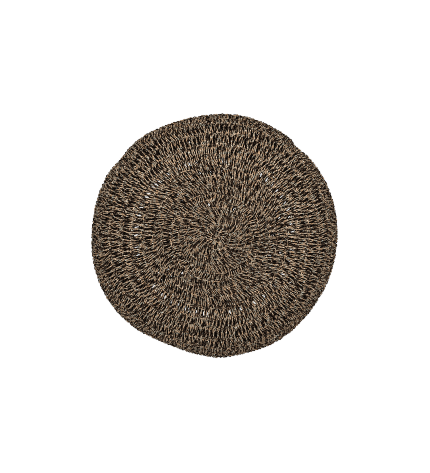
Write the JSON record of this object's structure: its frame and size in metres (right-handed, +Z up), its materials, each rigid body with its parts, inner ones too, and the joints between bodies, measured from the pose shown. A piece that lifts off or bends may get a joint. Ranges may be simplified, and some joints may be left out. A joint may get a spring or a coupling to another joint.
{
  "type": "seagrass rug",
  "caption": "Flat round floor rug crocheted in rounds from two-tone seagrass cord, with raised rings of stitch heads, small see-through openings between the posts and a plain worked edge.",
  "frame": {"origin": "centre of the outline's box on the underside, where the rug rests on the floor", "axes": "+Z up out of the floor, towards the worked face; +X to the right and +Y away from the viewer who stands over it, as the rug is shown"},
  "size_m": [0.999, 0.9896, 0.017],
  "materials": {
    "seagrass": "matt twisted cord, straw-brown and near-black strands laid together"
  },
  "bodies": {
    "root": {"rug": "seagrass"}
  },
  "joints": []
}
